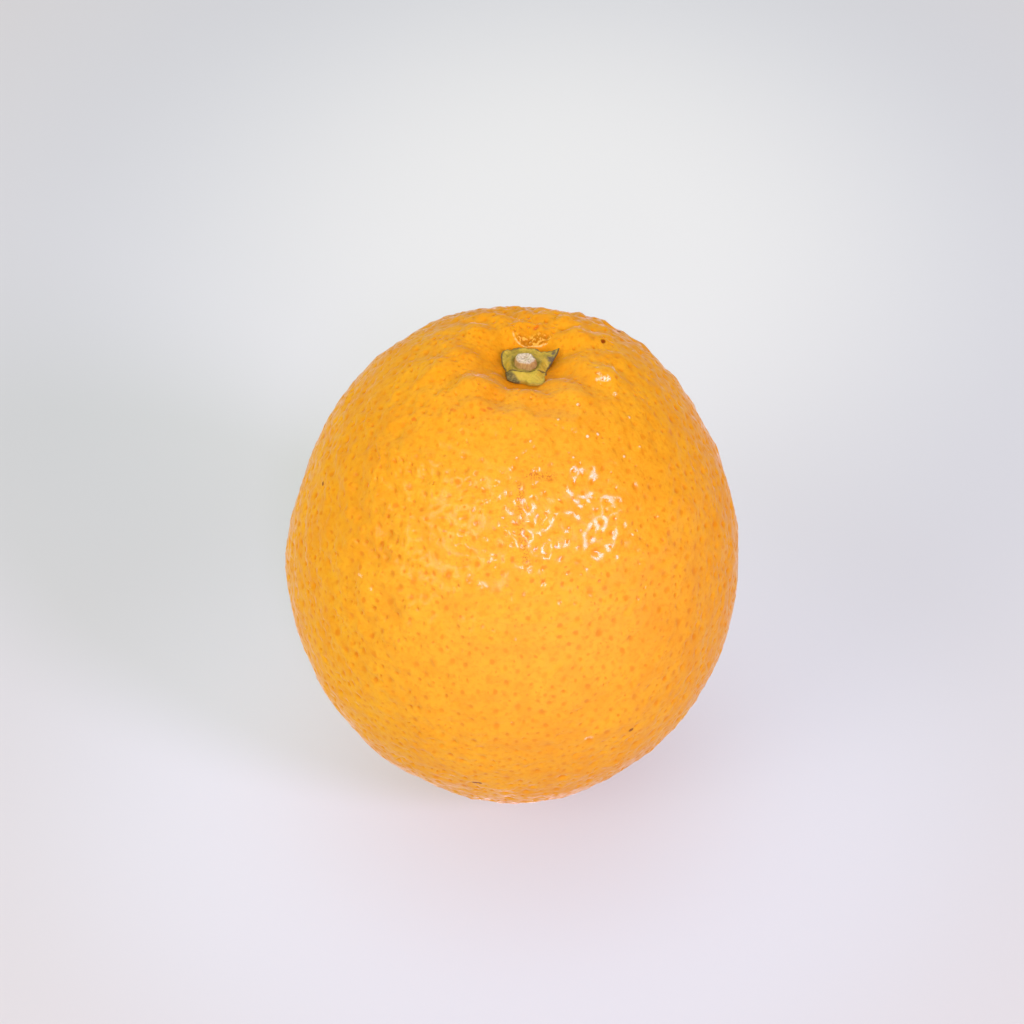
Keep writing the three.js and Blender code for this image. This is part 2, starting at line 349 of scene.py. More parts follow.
def cube_map(mesh, dirs):
    """A UV map with one cell of the square for each of the six sides that the faces look to."""
    layer = mesh.uv_layers.new(name="OFBake")
    loops = read(mesh.loops, "vertex_index", int)
    totals = read(mesh.polygons, "loop_total", int)
    face_of = np.repeat(np.arange(len(totals)), totals)
    middles = np.zeros((len(totals), 3))
    np.add.at(middles, face_of, dirs[loops])
    axis = np.abs(middles).argmax(axis=1)
    side = 2 * axis + (middles[np.arange(len(axis)), axis] > 0)
    main = dirs[loops, axis[face_of]]
    first = np.arctan2(dirs[loops, (axis[face_of] + 1) % 3], np.abs(main))
    second = np.arctan2(dirs[loops, (axis[face_of] + 2) % 3], np.abs(main))
    margin = 0.94
    wide, high = 3, 2
    u = (side[face_of] % wide + 0.5 + margin * first * 2 / math.pi) / wide
    v = (side[face_of] // wide + 0.5 + margin * second * 2 / math.pi) / high
    layer.data.foreach_set("uv", columns(u, v).ravel().astype(np.float32))


def add_object(name, data):
    """Adds an object to the scene."""
    made = bpy.data.objects.new(name, data)
    bpy.context.collection.objects.link(made)
    return made


def dress(mesh, name, node, material):
    """A smooth mesh object that rides on the body in place of a CAD node."""
    mesh.polygons.foreach_set("use_smooth", [True] * len(mesh.polygons))
    mesh.update()
    mesh.materials.append(material)
    piece = add_object(name, mesh)
    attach(piece, BODY)
    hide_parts(node)


# ---- shaders

class Wire:
    """A shader value. Arithmetic on it adds Math nodes."""

    def __init__(self, graph, socket):
        self.graph = graph
        self.socket = socket

    def _math(self, operation, *values):
        return self.graph.add("ShaderNodeMath", {"operation": operation}, dict(enumerate(values)))

    def __add__(self, other):
        return self._math("ADD", self, other)

    def __sub__(self, other):
        return self._math("SUBTRACT", self, other)

    def __rsub__(self, other):
        return self._math("SUBTRACT", other, self)

    def __mul__(self, other):
        return self._math("MULTIPLY", self, other)

    __radd__ = __add__
    __rmul__ = __mul__

    def either(self, other):
        """The greater of two masks."""
        return self._math("MAXIMUM", self, other)

    def ramp(self, low, high):
        """0 at low, 1 at high, soft between; low may be above high."""
        ranges = {"Value": self, "From Min": low, "From Max": high}
        return self.graph.add("ShaderNodeMapRange", {"interpolation_type": "SMOOTHSTEP"}, ranges)


class Graph:
    """The nodes of a material or world, with its object coordinates at hand."""

    def __init__(self, owner):
        self.owner = owner
        owner.use_nodes = True
        self.tree = owner.node_tree
        self.tree.nodes.clear()
        self.place = self.add("ShaderNodeTexCoord", output="Object")

    def add(self, kind, settings=None, inputs=None, output=0):
        """Adds a node, sets it, feeds its sockets, and gives back one of its outputs."""
        node = self.tree.nodes.new(kind)
        for key, value in (settings or {}).items():
            setattr(node, key, value)
        for key, value in (inputs or {}).items():
            if isinstance(value, Wire):
                self.tree.links.new(value.socket, node.inputs[key])
            else:
                node.inputs[key].default_value = value
        return Wire(self, node.outputs[output]) if node.outputs else None

    def values(self, names):
        """Values stored on the mesh's points."""
        return [self.add("ShaderNodeAttribute", {"attribute_name": name}, output="Fac") for name in names]

    def noise(self, size, detail=2.0, place=None):
        """Noise from 0 to 1 whose blotches are about one size."""
        inputs = {"Vector": place or self.place, "Scale": 1 / size, "Detail": detail}
        return self.add("ShaderNodeTexNoise", inputs=inputs)

    def mix(self, first, second, share):
        """One colour giving way to another. A plain one is the code of a tint, or its three values."""
        first, second = (tint(c) if isinstance(c, str) else c for c in (first, second))
        first, second = (c if isinstance(c, Wire) else (*c, 1) for c in (first, second))
        inputs = {"Factor": share, 6: first, 7: second}
        return self.add("ShaderNodeMix", {"data_type": "RGBA"}, inputs, output=2)

    def layered(self, colour, tints, shares):
        """A colour with others laid over it in turn, each by the share that has its name."""
        for name, share in shares.items():
            colour = self.mix(colour, tints[name], share)
        return colour

    def vector(self, operation, *values, output=0):
        """A Vector Math node."""
        return self.add("ShaderNodeVectorMath", {"operation": operation}, dict(enumerate(values)), output)

    def scaled(self, *factors):
        """The object coordinates, each one scaled."""
        return self.vector("MULTIPLY", self.place, factors)

    def near(self, centre, place=None):
        """Distance from a fixed point."""
        return self.vector("DISTANCE", place or self.place, tuple(centre), output="Value")

    def bump(self, height, distance, before=None):
        """A surface normal tilted by a height field."""
        inputs = {"Height": height, "Distance": distance, "Strength": 1.0}
        if before:
            inputs["Normal"] = before
        return self.add("ShaderNodeBump", inputs=inputs)

    def surface(self, inputs):
        """The material's Principled shader."""
        shader = self.add("ShaderNodeBsdfPrincipled", inputs=inputs)
        self.add("ShaderNodeOutputMaterial", inputs={"Surface": shader})
        return self.owner


def any_of(masks):
    """The greatest of several masks."""
    return functools.reduce(Wire.either, masks)


def capsule(graph, start, end, radius, edge):
    """A mask that is 1 within a radius of a straight line, with a soft edge."""
    along = end - start
    length = float(np.linalg.norm(along))
    outside, inside = radius + edge, max(radius - edge, 0)
    if length < TINY:
        return graph.near(start).ramp(outside, inside)
    heading = tuple(along / length)
    from_start = graph.vector("SUBTRACT", graph.place, tuple(start))
    reach = graph.vector("DOT_PRODUCT", from_start, heading, output="Value")
    clamped = graph.add("ShaderNodeClamp", inputs={"Value": reach, "Min": 0.0, "Max": length})
    nearest = graph.add("ShaderNodeVectorMath", {"operation": "SCALE"}, {0: heading, "Scale": clamped})
    return graph.vector("DISTANCE", from_start, nearest, output="Value").ramp(outside, inside)


# ---- fruit

# Oil glands: how much denser they stand round the stem and over what fall (radians), how far each is shaken
# from its even place, and their sizes, tones and depths
CROWDING = (2.2, 0.30)
SHAKEN = 0.5
GLAND_SIZES = (0.50, 0.92)
GLAND_TONES = (0.4, 1.0)
PIT_EVENNESS = 2.4
PIT_DEPTHS = (0.15, 1.9)
# The two rings of points in a gland's cell. Depth and tone at its centre, on each ring and on its rim
RINGS = (0.30, 0.62)
FALL_STEPS = 6001
SEEDS = dict(shaken=7, size=19, pit=29)
PIT_PROFILE = (1, 0.72, 0.18, 0)
TONE_PROFILE = (1, 0.76, 0.19, 0)

# Parts of the peel with a look of their own: fall, turn and spread. Painted sheen is laid over the front one
# and round the polished one
AREAS = dict(ripple=(50, 235, 32), polish=(52, 288, 35), front_sheen=(80, 272, 42), behind=(35, 68, 28))
# How much deeper the pits are there, and the share of their depth that is left in the stem hollow
PIT_CHANGES = dict(behind=1.5, polish=-0.72, front_sheen=-0.3)
PIT_IN_HOLLOW = 0.22
# Undulations: wavelength and height in millimetres, seed, whether they are fine, and the area they keep to.
# Fine ones lie down in the hollow and rise where the peel ripples; the ripples lie flat
UNDULATIONS = (
    (2.0, 0.10, 2, True, None), (3.2, 0.17, 6, True, "ripple"), (4.2, 0.07, 3, True, None),
    (3.2, 0.08, 16, True, "polish"), (8.0, 0.07, 4, False, None), (3.0, 0.20, 11, False, "behind"),
    (24, 0.11, 5, False, None),
)
RIPPLE_STRETCH = (0.5, 0.5, 1)
FINE_IN_HOLLOW = 0.4
FINE_RIPPLED = (0.6, 0.9)
# Wrinkles that run out of the hollow, and the puckers round it: where their belt begins and ends, from the
# stem, then height, wavelength and seed
WRINKLES = ((3 * MM, 5 * MM), (8 * MM, 15 * MM), 0.05 * MM, 0.55, 8)
PUCKERS = ((4 * MM, 6 * MM), (12 * MM, 20 * MM), 0.26 * MM, 5.5 * MM, 10)
WRINKLE_LENGTH = 14 * MM
# Where the relief is full again, away from the stem and above the floor, and where the hollow's painted shade
# and the style's tone end
OFF_STEM = (4 * MM, 11 * MM)
OFF_REST = (0.3 * MM, 3 * MM)
HOLLOW_TONE = (4 * MM, 9 * MM)
STYLE_TONE = (1.5 * MM, 4.5 * MM)

# Small marks on the peel: how soft their edge is, then turn, fall, half length, half width and lean of each.
# The lengths are in millimetres
MARKS = dict(
    dark=(0.12, (
        (259.6, 117.2, 0.85, 0.42, 0), (300.2, 102.2, 0.50, 0.42, 0), (23.7, 23.6, 0.80, 0.34, 75),
        (195.3, 59.4, 0.85, 0.34, 80), (43.0, 38.0, 0.50, 0.32, 0), (270.5, 45.3, 0.28, 0.26, 0))),
    pale=(0.18, (
        (225.2, 67.6, 0.50, 0.24, 0), (229.4, 69.2, 0.34, 0.22, 0), (288.6, 100.6, 0.80, 0.50, 25),
        (269.3, 92.9, 0.30, 0.16, 0))),
    red=(0.18, (
        (67.4, 14.5, 0.70, 0.45, 60), (248.4, 21.2, 0.55, 0.30, 0), (252.4, 20.2, 0.50, 0.28, 0),
        (214.0, 31.5, 0.80, 0.30, 70), (231.0, 24.0, 0.55, 0.30, 0))),
    # Whitish crust, partly real and partly painted near-white as glints
    crust_and_glints=(0.15, (
        (348.5, 21.2, 1.30, 0.50, 20), (348.0, 22.6, 1.05, 0.44, 60), (344.0, 22.6, 1.30, 0.46, 110),
        (358.4, 24.8, 0.44, 0.36, 0), (338.6, 27.0, 0.44, 0.34, 0))))
# Tiny raised grains (turn, fall), and how far each reaches. A near-white painted glint sits on each
GRAINS = (
    (312.8, 22.7), (306.2, 30.8), (311.6, 31.4), (332.2, 33.0), (277.9, 28.7), (295.6, 24.5),
    (230.2, 20.8), (295.5, 34.4), (325.5, 39.5), (317.0, 39.0),
)
GRAIN_REACH = 0.60 * MM
# A rubbed T: from, to (turn, fall), and its half width and soft edge
SCRATCHES = (
    ((275.0, 36.4), (285.0, 37.6)),
    ((272.2, 39.0), (272.0, 47.5)),
    ((272.0, 47.5), (273.6, 56.0)),
)
SCRATCH_WIDTH = (0.5 * MM, 0.7 * MM)

# Tints that are laid over the peel, in the order of their layers. Those for the pits, creases and hollow are
# painted shade
PEEL_TINTS = dict(
    broad="E3940C", blotches="E3940A", painted_sheen="F4BC30", grainy="E08E08", painted_shade="D88206", pits="D87200",
    creases="DC8C00", hollow="B86C00", front_sheen="F8AE72", scar="BA760C", crumbs="F2BA48", lip="F4C46C",
    style="8A5A28", pale="FFDDB0", crust_and_glints="FFF0BC", grains_and_glints="FFE2B4", rubbed="B0601A", red="D8560E",
    dark="883600")
# Paler glands round the stem, and painted shade, a deeper tone, near the floor and on the right flank: the
# middle of each place, and where it begins and is full
PLACES = dict(
    stem=((0, 0, 80 * MM), 32 * MM, 16 * MM),
    floor=((0, 0, 0), 58 * MM, 28 * MM),
    right=((36 * MM, -10 * MM, 40 * MM), 36 * MM, 12 * MM))


def gland_directions(count):
    """Directions of the oil glands: a golden-angle spiral, denser round the stem, shaken and evened out."""
    falls = np.linspace(0, np.pi, FALL_STEPS)
    crowding = 1 + CROWDING[0] * np.exp(-((falls / CROWDING[1]) ** 2))
    passed = np.cumsum(np.sin(falls) * crowding)
    passed /= passed[-1]
    number = np.arange(count)
    fall = np.interp((number + 0.5) / count, passed, falls)
    dirs = direction(np.degrees(fall), np.degrees(number * GOLDEN_ANGLE))
    density = np.interp(fall, falls, crowding) / (np.sin(falls) * crowding).sum() / (falls[1] - falls[0])
    spacing = np.sqrt(2 * np.pi / (count * density))
    random = np.random.default_rng(SEEDS["shaken"])
    dirs = unit(dirs + random.normal(size=dirs.shape) * (SHAKEN * spacing)[:, None])
    triangles = delaunay(dirs)
    centres = unit(dirs[triangles].sum(axis=1))
    evened = np.zeros_like(dirs)
    for corner in range(3):
        np.add.at(evened, triangles[:, corner], centres)
    return unit(evened[np.linalg.norm(evened, axis=1) > 0])


def gland_cells(dirs, triangles):
    """The peel's mesh on the unit sphere: each gland is a centre and two rings inside a cell of rim points.

    Returns the directions of its points, the gland of each (-1 on a rim), how far out it lies, and the faces.
    """
    count, faces_count = len(dirs), len(triangles)
    centres = unit(dirs[triangles].sum(axis=1))
    random = np.random.default_rng(SEEDS["size"])
    size = random.uniform(*GLAND_SIZES, count)
    owner = triangles.ravel()
    corner = np.repeat(centres, 3, axis=0)
    rings = []
    for share in RINGS:
        along = (share * size[owner])[:, None]
        rings.append(unit(dirs[owner] * (1 - along) + corner * along))
    places = np.concatenate([dirs, *rings, centres])
    first, second, rim = count, count + 3 * faces_count, count + 6 * faces_count
    out = np.repeat((0, *RINGS, 1), (count, 3 * faces_count, 3 * faces_count, faces_count))
    belongs = np.concatenate([np.arange(count), owner, owner, np.full(faces_count, -1)])
    # a half-edge is three times its face plus its corner; its twin runs the other way along the same edge
    end = np.roll(triangles, -1, axis=1).ravel()
    order = np.argsort(end * count + owner)
    twin = order[np.searchsorted((end * count + owner)[order], owner * count + end)]
    faces = []
    for here, other in enumerate(twin.tolist()):
        face, next_face = here // 3, other // 3
        there = 3 * next_face + (other % 3 + 1) % 3
        faces.append((int(owner[here]), first + there, first + here))
        faces.append((first + there, second + there, second + here, first + here))
        faces.append((second + there, rim + next_face, rim + face, second + here))
    return places, belongs, out, faces


def belt_relief(belt, away, points):
    """Waves in a belt round the stem."""
    begins, ends, height, wave, seed = belt
    inside = ease(away, *begins) * (1 - ease(away, *ends))
    return inside * height * Waves(wave, seed)(points)


def scar_relief(from_stem, level):
    """The scar, a thin raised lip with sunk, rough tissue inside it: its height and its two masks."""
    x = from_stem[:, 0] - SCAR["x"]
    y = (from_stem[:, 1] - SCAR["y"]) * SCAR["squash"]
    reach, turn = np.hypot(x, y), np.degrees(np.arctan2(y, x)) % 360
    facing = ease(turn, SCAR["from_turn"], SCAR["from_turn"] + SCAR["taper"])
    facing = facing * (1 - ease(turn, SCAR["to_turn"] - SCAR["taper"], SCAR["to_turn"]))
    lip = facing * np.exp(-(((reach - SCAR["radius"]) / SCAR["lip"]) ** 2))
    inside = 1 - ease(reach, SCAR["radius"] - SCAR["edge"], SCAR["radius"])
    patch = inside * (1 - ease(y, *SCAR["cut_off"]))
    rough = SCAR["rough"] * Waves(SCAR["rough_wave"], SCAR["rough_seed"])(level)
    return SCAR["lip_rise"] * lip + patch * (rough - SCAR["sunk"]), lip, patch


def peel_relief(skin, dirs):
    """How far soft relief raises the peel, and the masks that its pits and colours follow."""
    level = skin.points(dirs)
    from_stem = level[:, :2] - STEM
    away = np.hypot(*from_stem.T)
    on_crown = dirs[:, 2] > 0
    masks = {name: closeness(dirs, *area) for name, area in AREAS.items()}
    masks["off_stem"] = np.where(on_crown, ease(away, *OFF_STEM), 1)
    masks["off_rest"] = ease(level[:, 2], *OFF_REST)
    fine = FINE_IN_HOLLOW + (1 - FINE_IN_HOLLOW) * masks["off_stem"]
    fine = fine * (FINE_RIPPLED[0] + FINE_RIPPLED[1] * masks["ripple"])
    raised = 0
    for wave, height, seed, is_fine, area in UNDULATIONS:
        stretch = RIPPLE_STRETCH if area == "ripple" else 1
        waves = height * MM * Waves(wave * MM, seed)(level * stretch) * masks.get(area, 1)
        raised = raised + waves * (fine if is_fine else 1)
    turn = np.arctan2(from_stem[:, 1], from_stem[:, 0])
    ring = columns(np.cos(turn), np.sin(turn), away / WRINKLE_LENGTH)
    scar, lip, patch = scar_relief(from_stem, level)
    masks["lip"], masks["patch"] = on_crown * lip, on_crown * patch
    crown = belt_relief(WRINKLES, away, ring) + belt_relief(PUCKERS, away, level) + scar
    return raised * masks["off_rest"] + on_crown * crown, masks


def peel_mesh(fruit):
    """The whole skin as one closed mesh: every gland's pit, the creases, the hollow and the scar."""
    skin = Skin(fruit)
    glands = gland_directions(fruit.glands)
    used, triangles = np.unique(delaunay(glands), return_inverse=True)
    glands, triangles = glands[used], triangles.reshape(-1, 3)
    places, belongs, out, faces = gland_cells(glands, triangles)
    random = np.random.default_rng(SEEDS["pit"])
    depth = random.gamma(PIT_EVENNESS, 1 / PIT_EVENNESS, len(glands)).clip(*PIT_DEPTHS)
    tone = random.uniform(*GLAND_TONES, len(glands))
    # rim points belong to gland -1, which reads the 0 put after the others
    depth, tone = np.append(depth, 0)[belongs], np.append(tone, 0)[belongs]
    steps = (0, *RINGS, 1)
    mesh = build("peel", places, faces, dict(
        pit=depth * np.interp(out, steps, PIT_PROFILE), gland=tone * np.interp(out, steps, TONE_PROFILE)))
    from_stem = skin.points(places)[:, :2] - STEM
    middle, radius, cuts = SCAR_MESH
    scar = np.hypot(*(from_stem - middle).T) < radius
    refine(mesh, scar & (places[:, 2] > 0), cuts)
    dirs = unit(read(mesh.vertices, "co", float, 3).reshape(-1, 3))
    raised, masks = peel_relief(skin, dirs)
    kept = PIT_IN_HOLLOW + (1 - PIT_IN_HOLLOW) * masks["off_stem"]
    kept = kept * masks["off_rest"] * (1 - masks["patch"])
    for area, change in PIT_CHANGES.items():
        kept = kept * (1 + change * masks[area])
    pit = read(mesh.attributes["pit"].data, "value", np.float32) * kept
    places = skin.points(dirs, raised - fruit.pit_depth * pit)
    mesh.vertices.foreach_set("co", places.ravel())
    from_stem = places[:, :2] - STEM
    on_crown = dirs[:, 2] > 0
    # The crease and hollow values also lay painted shade into the peel's colour
    crease = on_crown * skin.crease_depth(*from_stem.T) / MM
    hollow = on_crown * (1 - ease(np.hypot(*from_stem.T), *HOLLOW_TONE))
    style = ~on_crown * (1 - ease(np.hypot(*places[:, :2].T), *STYLE_TONE))
    add_values(mesh, dict(pit=pit, crease=crease, hollow=hollow, style=style))
    add_values(mesh, {key: masks[key] for key in ("lip", "patch", "polish", "front_sheen", "ripple")})
    cube_map(mesh, dirs)
    return mesh


def spots(graph, skin, marks, edge):
    """A mask for small marks: 1 on them, fading over a soft edge."""
    masks = []
    for turn, fall, long, wide, lean in marks:
        middle = skin.points(direction(np.array([fall]), np.array([turn])))[0]
        half = direction(90, turn + 90 + lean) * ((long - wide) * MM)
        masks.append(capsule(graph, middle - half, middle + half, wide * MM, edge))
    return any_of(masks)


def peel_marks(graph, skin):
    """Masks of all the marks, by name."""
    masks = {name: spots(graph, skin, marks, edge * MM) for name, (edge, marks) in MARKS.items()}
    turns, falls = np.array(GRAINS).T
    masks["grains_and_glints"] = any_of(
        graph.near(centre).ramp(GRAIN_REACH, 0) for centre in skin.points(direction(falls, turns)))
    turns, falls = np.array(SCRATCHES).reshape(-1, 2).T
    ends = skin.points(direction(falls, turns)).reshape(-1, 2, 3)
    masks["rubbed"] = any_of(capsule(graph, *pair, *SCRATCH_WIDTH) for pair in ends)
    return masks


def peel_material(fruit):
    """Waxy orange rind with deeper-coloured oil glands, mottling and a few marks, and painted shade in its
    creases, hollow and pits, near the floor and on the right, with painted sheen and glints.
    """
    graph = Graph(bpy.data.materials.new("peel_rind"))
    pit, gland, crease, hollow, style = graph.values(("pit", "gland", "crease", "hollow", "style"))
    lip, patch, polish, front_sheen, ripple = graph.values(("lip", "patch", "polish", "front_sheen", "ripple"))
    marks = peel_marks(graph, Skin(fruit))
    broad = graph.noise(24 * MM)
    blotch = graph.noise(3.4 * MM, detail=3.0)
    grain = graph.noise(0.7 * MM)
    crumb = graph.noise(0.5 * MM, detail=2.5)
    speckle = graph.noise(0.30 * MM, detail=1.0)
    stem, floor, right = (graph.near(middle).ramp(*reach) for middle, *reach in PLACES.values())
    scar = graph.mix(PEEL_TINTS["scar"], PEEL_TINTS["crumbs"], crumb.ramp(0.48, 0.62))
    tints = dict(PEEL_TINTS, glands=fruit.gland_colour, scar=scar)
    colour = graph.layered(fruit.peel_colour, tints, dict(
        broad=broad.ramp(0.40, 0.70) * 0.4,
        blotches=blotch.ramp(0.40, 0.66) * 0.52,
        # painted sheen: a lighter, yellower tone round the key light's highlight
        painted_sheen=polish * 0.3,
        grainy=grain.ramp(0.44, 0.72) * 0.5,
        glands=gland.ramp(0.06, 0.86) * 0.96 * grain.ramp(0.1, 0.4) * (1 - stem * 0.4) + 0.04,
        # painted shade: a deeper tone near the floor and on the right flank
        painted_shade=floor.either(right * 0.7) * 0.22,
        # painted shade: deeper orange in the deepest pits
        pits=pit.ramp(0.5, 1.9) * 0.2,
        # painted shade: a deeper tone along the creases and over the stem hollow
        creases=(crease * 0.4).either(hollow * 0.5),
        # painted shade: darker brown-orange right round the calyx
        hollow=hollow.ramp(0.55, 1.0) * 0.4,
        # painted sheen: a pale peach veil over the front
        front_sheen=front_sheen * 0.08,
        scar=patch * 0.9,
        lip=lip.ramp(0.35, 0.8) * crumb.ramp(0.25, 0.6),
        style=style * 0.55,
        pale=marks["pale"] * speckle.ramp(0.42, 0.62) * 0.8,
        # partly a real pale crust, partly a painted near-white glint
        crust_and_glints=marks["crust_and_glints"] * speckle.ramp(0.38, 0.52) * 0.9,
        # painted glints on the raised grains
        grains_and_glints=marks["grains_and_glints"].ramp(0.50, 0.85) * speckle.ramp(0.3, 0.5) * 0.85,
        rubbed=marks["rubbed"] * speckle.ramp(0.46, 0.62) * 0.65,
        red=marks["red"] * 0.55,
        dark=marks["dark"] * 0.92))
    coat = (0.03 + polish * 0.53 + ripple * 0.10) * (1 - patch)
    coat = coat * (1 - hollow * 0.7) * (1 - marks["dark"] * 0.8)
    lying = graph.noise(1.3 * MM, detail=1.0, place=graph.scaled(0.55, 0.55, 1.0))
    pebbles = graph.noise(1.5 * MM, detail=1.5)
    normal = graph.bump(pebbles * (1 - polish * 0.45) + lying * ripple * 1.3, 0.22 * MM)
    normal = graph.bump(grain + speckle * 0.5, 0.06 * MM, normal)
    normal = graph.bump(crumb * patch, 0.2 * MM, normal)
    normal = graph.bump(marks["grains_and_glints"] + marks["crust_and_glints"] * speckle, 0.18 * MM, normal)
    return graph.surface({
        "Base Color": colour, "Normal": normal, "Specular IOR Level": 0.06,
        "Roughness": 0.38 + grain * 0.12 + pit * 0.05 + patch * 0.2 + style * 0.3 + hollow * 0.2,
        "Coat Weight": coat, "Coat Roughness": 0.18,
        "Subsurface Weight": 0.16, "Subsurface Radius": (1.0, 0.35, 0.10), "Subsurface Scale": 1.0 * MM,
        "Sheen Weight": 0.54, "Sheen Roughness": 0.22, "Sheen Tint": (1, 0.90, 0.79, 1)})


# ---- calyx and stub

CALYX_SPOKES = 240
# Rows of the calyx's points: up to where its upper face runs out, how many rows there and round the rim, the
# angle that the rim starts at, and the rows of the underside
CALYX_ROWS = dict(upper_to=0.96, upper=34, rim=8, rim_from=0.3, under=(0.8, 0.5, 0.2, 0))
SOCKET_SHARE = 0.80
# Uneven outline of the calyx: wavelength on the unit circle, height and seed
CALYX_WAVER = ((0.55, 0.10 * MM, 12), (0.2, 0.05 * MM, 13))
# Uneven upper face: wavelength, height and seed
CALYX_RELIEF = ((1.6 * MM, 0.09 * MM, 14), (0.6 * MM, 0.03 * MM, 15))
THINNING_FROM = 2.3 * MM
COLLAR_TONE = (2.1 * MM, 2.9 * MM)
# The groove round the stub, the fold, the plump lower sepal, and how deep the calyx sits in the peel
GROOVE = dict(gap=0.30 * MM, width=0.22 * MM, depth=0.16 * MM)
SEAM_DEPTH = 0.25 * MM
PLUMP_RISE = 0.30 * MM
CALYX_SUNK = 0.12 * MM
# Places on the calyx, in millimetres from the stem: the fold between the upper sepals and the two under them,
# the plump middle, the edge of the lower ones, the withered side, and two brown spots with their sizes
SEAM = np.array(((-3.4, -1.0), (-1.9, -1.75), (0.1, -2.15), (1.9, -1.75), (3.8, -0.8)))
SEAM_WIDTH = 0.20
PLUMP = dict(x=0.9, y=-3.3, long=1.9, wide=1.3)
LOBE_EDGE = dict(y=-1.9, bend=0.10, soft=0.3)
WITHERED = dict(x=-2.4, y=-1.8, along=(-0.805, -0.593), edge=(-0.25, 0.2), under=(0.6, 1.6))
CALYX_SPOTS = ((4.1, 1.8, 0.6), (4.6, 3.0, 0.4))
CALYX_TINTS = dict(
    blotches="A5911C", grainy="CCB654", lobe="CAB230", collar="7F7314", withered="7C7034", crumbled="40381A",
    seam="4A4018", dried="4A3E22", spots="5C5242")

STUB_SPOKES = 120
# Rows of the stub's points: how many up its side, round its broken edge and over the cut, the angle and the
# roughness that the edge starts at, and the sizes that the cut starts and ends at
STUB_ROWS = dict(side=14, bevel=6, cut=20, bevel_from=0.2, rough_from=0.1, cut_from=0.84, cut_to=0.06)
STUB_SUNK = 0.5 * MM
STUB_BEVEL = 0.34 * MM
# The stub is a little wider than deep, leans to the front, narrows upwards and is cut on a slant
STUB_OVAL = (1.06, 0.93)
STUB_SHIFT = -0.25 * MM
STUB_NARROWING = (0.10, 0.12)
STUB_SLANT = 0.10
# Uneven outline, in shares of the radius, and rough cut: wavelength, height and seed
STUB_WAVER = ((1.4, 0.045, 21), (0.35, 0.022, 22))
STUB_ROUGH = ((0.6 * MM, 0.05 * MM, 23), (1.5 * MM, 0.06 * MM, 24))
STUB_TINTS = dict(fibres="A89868", pith="A08C58", streaks="A47C3C")


def waver(parts, points):
    """The sum of several kinds of waves: wavelength, height and seed of each."""
    return sum(height * Waves(wave, seed)(points) for wave, height, seed in parts)


def sepal_edge(turn, radius):
    """The calyx's outline, and how far its edge curls up, at turns in degrees."""
    reach, lift = np.full(len(turn), radius), np.zeros(len(turn))
    for middle, length, width, blunt, rise in SEPALS:
        off = (turn - middle + 180) % 360 - 180
        share = np.exp(-((np.abs(off) / width) ** blunt))
        reach = reach + length * MM * share
        lift = lift + rise * MM * share
    return reach, lift


def line_distance(points, corners):
    """Distance from points to a line through corners, in the plane."""
    best = np.full(len(points), np.inf)
    for start, end in zip(corners, corners[1:]):
        along = end - start
        share = np.clip(((points - start) @ along) / (along @ along), 0, 1)
        best = np.minimum(best, np.hypot(*(points - start - share[:, None] * along).T))
    return best


def calyx_rows():
    """Over the upper face, round the rim and back under: share of the way out, share of the thickness."""
    top = CALYX_ROWS["upper_to"]
    angles = np.linspace(CALYX_ROWS["rim_from"], math.pi, CALYX_ROWS["rim"])
    return [
        *((share, 1.0) for share in np.linspace(0, top, CALYX_ROWS["upper"])),
        *((top + (1 - top) * math.sin(angle), 0.5 + 0.5 * math.cos(angle)) for angle in angles),
        *((share, 0.0) for share in CALYX_ROWS["under"])]


def calyx_masks(x, y):
    """The fold, the lower sepals, the plump middle of them and the withered one, at places in millimetres."""
    off = (x - WITHERED["x"]) * WITHERED["along"][0] + (y - WITHERED["y"]) * WITHERED["along"][1]
    return dict(
        seam=np.exp(-((line_distance(columns(x, y), SEAM) / SEAM_WIDTH) ** 2)),
        lobe=ease(LOBE_EDGE["y"] + LOBE_EDGE["bend"] * np.abs(x) - y, 0, LOBE_EDGE["soft"]),
        plump=np.exp(-(((x - PLUMP["x"]) / PLUMP["long"]) ** 2) - ((y - PLUMP["y"]) / PLUMP["wide"]) ** 2),
        withered=ease(off, *WITHERED["edge"]) * ease(-y, *WITHERED["under"]))


def calyx_mesh(calyx, stub, skin):
    """A fleshy plate with blunt sepals: an upper face, a rounded rim and an underside pressed on the peel."""
    around = circle(CALYX_SPOKES)
    outline, lift = sepal_edge(np.arange(CALYX_SPOKES) * 360 / CALYX_SPOKES, calyx.radius)
    outline = outline + waver(CALYX_WAVER, around)
    socket = stub.radius * SOCKET_SHARE
    rows = calyx_rows()
    places, values = [], dict(out=[], seam=[], lobe=[], collar=[], withered=[])
    for share, height in rows:
        reach = socket + share * (outline - socket)
        spread = around * reach[:, None]
        x, y = spread[:, 0], spread[:, 1]
        bottom = skin.height(STEM[0] + x, STEM[1] + y) + lift * share**2
        past = ease(reach, THINNING_FROM, outline)
        masks = calyx_masks(x / MM, y / MM)
        relief = waver(CALYX_RELIEF, spread) * ease(share, 0.1, 0.3)
        groove = np.exp(-(((reach - stub.radius - GROOVE["gap"]) / GROOVE["width"]) ** 2))
        top = calyx.collar * (1 - past) + calyx.edge * past + relief
        top = top - SEAM_DEPTH * masks["seam"] + PLUMP_RISE * masks["plump"] - GROOVE["depth"] * groove
        z = bottom - CALYX_SUNK + height * (top + CALYX_SUNK)
        places.append(columns(STEM[0] + x, STEM[1] + y, z))
        masks["out"] = np.full(CALYX_SPOKES, share if height > 0.5 else 1.0)
        masks["collar"] = 1 - ease(reach, *COLLAR_TONE)
        for key, numbers in values.items():
            numbers.append(masks[key])
    faces = tube_faces(len(rows), CALYX_SPOKES, upward=False)
    values = {key: np.concatenate(numbers) for key, numbers in values.items()}
    return build("sepals", np.concatenate(places), faces, values)


